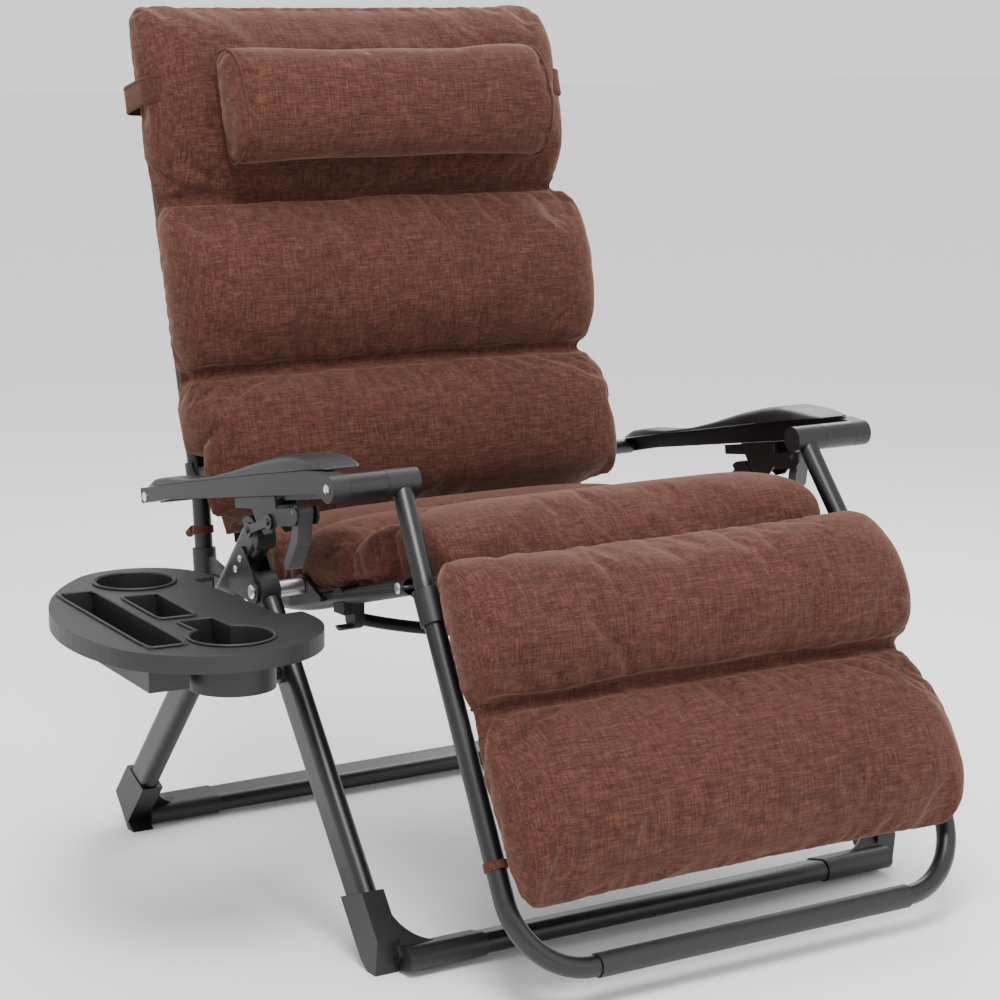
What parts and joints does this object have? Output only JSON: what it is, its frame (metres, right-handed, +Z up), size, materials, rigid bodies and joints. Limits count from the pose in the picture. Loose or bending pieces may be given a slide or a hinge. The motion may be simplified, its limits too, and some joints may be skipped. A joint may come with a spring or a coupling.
{
  "type": "zero gravity recliner",
  "caption": "Folding reclining chair with crossed legs, a padded roll cushion on a laced sling, a head pillow, contoured armrests and a side tray.",
  "frame": {"origin": "on the floor, under the middle of the whole outline, tray included", "axes": "+Z up; the sitter faces -Y; the tray is on the sitter's right, at -X; the chair's own middle plane is at x = 0.143 m"},
  "size_m": [1.1206, 1.0695, 1.1542],
  "materials": {
    "black_steel": "satin black powder coat",
    "bright_steel": "bright zinc",
    "black_plastic": "fine texture",
    "grey_plastic": "satin",
    "tray_plastic": "matt grain",
    "pad_plastic": "fine texture",
    "grip_rubber": "matt",
    "brown_cloth": "heathered weave",
    "sling_mesh": "woven mesh",
    "elastic_cord": "braided"
  },
  "bodies": {
    "base": {"front_leg_right": "black_steel", "front_leg_left": "black_steel", "front_floor_bar": "black_steel", "front_feet": "black_plastic", "front_leg_plugs": "black_plastic", "tray_bracket": "black_steel", "apex_pins": "bright_steel"},
    "rear_legs": {"rear_leg_right": "black_steel", "rear_leg_left": "black_steel", "rear_floor_bar": "black_steel", "rear_feet": "black_plastic", "rear_leg_plugs": "black_plastic", "hinge_plates": "black_steel", "hinge_plate_rivets": "bright_steel"},
    "seat": {"seat_rail_right": "black_steel", "seat_rail_left": "black_steel", "seat_hangers": "black_steel", "seat_cross_tube": "black_steel", "cross_tube_clamps": "black_plastic", "seat_sling": "sling_mesh", "seat_lacing": "elastic_cord", "seat_cushion": "brown_cloth", "back_pivot_pins": "bright_steel", "knee_pins": "bright_steel"},
    "back": {"back_tube_right": "black_steel", "back_tube_left": "black_steel", "back_top_tube": "black_steel", "back_lower_tube": "black_steel", "back_brackets": "black_plastic", "back_sling": "sling_mesh", "back_lacing": "elastic_cord", "back_cushion": "brown_cloth", "back_ties": "brown_cloth"},
    "pillow": {"head_pillow": "brown_cloth", "pillow_strap": "brown_cloth"},
    "foot": {"foot_tube_right": "black_steel", "foot_tube_left": "black_steel", "foot_bar": "black_steel", "foot_grip": "grip_rubber", "knee_brackets": "black_plastic", "tee_fittings": "black_plastic", "leg_sling": "sling_mesh", "leg_lacing": "elastic_cord", "leg_cushion": "brown_cloth", "leg_ties": "brown_cloth", "arm_front_tubes": "black_steel"},
    "arms": {"arm_rail_right": "black_plastic", "arm_rail_left": "black_plastic", "arm_pad_right": "pad_plastic", "arm_pad_left": "pad_plastic", "arm_rear_spindles": "black_steel", "arm_rivets": "bright_steel", "lock_tracks": "black_plastic", "track_shoes": "grey_plastic"},
    "carriages": {"lock_carriages": "black_plastic"},
    "lever_right": {"lock_lever_right": "grey_plastic"},
    "lever_left": {"lock_lever_left": "grey_plastic"},
    "links": {"lock_links": "black_steel"},
    "tray": {"side_tray": "tray_plastic"},
    "knob": {"tray_knob": "black_plastic"}
  },
  "joints": [
    {"name": "fold", "type": "hinge", "parent": "base", "child": "rear_legs", "pos_m": [0.1431, 0.01011, 0.42], "axis": [-1, 0, 0], "range_deg": [0, 76]},
    {"name": "recline_seat", "type": "hinge", "parent": "base", "child": "seat", "pos_m": [0.1431, 0.01011, 0.42], "axis": [-1, 0, 0], "range_deg": [0, 18.05]},
    {"name": "recline", "type": "hinge", "parent": "seat", "child": "back", "pos_m": [0.1431, 0.28611, 0.372], "axis": [-1, 0, 0], "range_deg": [0, 30], "deforming": ["back_cushion"]},
    {"name": "recline_foot", "type": "hinge", "parent": "seat", "child": "foot", "pos_m": [0.1431, -0.22689, 0.459], "axis": [-1, 0, 0], "range_deg": [0, 30.05], "deforming": ["leg_cushion", "seat_cushion"]},
    {"name": "recline_arms", "type": "hinge", "parent": "foot", "child": "arms", "pos_m": [0.1431, -0.20289, 0.585], "axis": [-1, 0, 0], "range_deg": [-30.05, 0]},
    {"name": "recline_carriages", "type": "slide", "parent": "arms", "child": "carriages", "axis": [0, -0.9859, 0.1672], "range_m": [0, 0.0887]},
    {"name": "fold_links", "type": "hinge", "parent": "rear_legs", "child": "links", "pos_m": [0.1431, 0.01411, 0.5], "axis": [-1, 0, 0], "range_deg": [-76.05, 0]},
    {"name": "lever_right_turn", "type": "hinge", "parent": "carriages", "child": "lever_right", "pos_m": [0.1431, -0.09863, 0.53993], "axis": [-1, 0, 0], "range_deg": [0, 45]},
    {"name": "lever_left_turn", "type": "hinge", "parent": "carriages", "child": "lever_left", "pos_m": [0.1431, -0.09863, 0.53993], "axis": [-1, 0, 0], "range_deg": [0, 45]},
    {"name": "pillow_height", "type": "slide", "parent": "back", "child": "pillow", "axis": [0, 0.2484, 0.9687], "range_m": [-0.12, 0.03]},
    {"name": "tray_pull", "type": "slide", "parent": "base", "child": "tray", "axis": [-1, 0, 0], "range_m": [0, 0.09]},
    {"name": "knob_turn", "type": "hinge", "parent": "tray", "child": "knob", "pos_m": [-0.2899, -0.04689, 0.344], "axis": [0, -0.8, 0.6], "continuous": true}
  ],
  "couplings": [
    {"joint": "recline_seat", "follows": "recline", "ratio": 0.6},
    {"joint": "recline_foot", "follows": "recline", "ratio": 1},
    {"joint": "recline_arms", "follows": "recline", "ratio": -1},
    {"joint": "recline_carriages", "follows": "recline", "m_per_rad": 0.16921},
    {"joint": "fold_links", "follows": "fold", "ratio": -1}
  ]
}
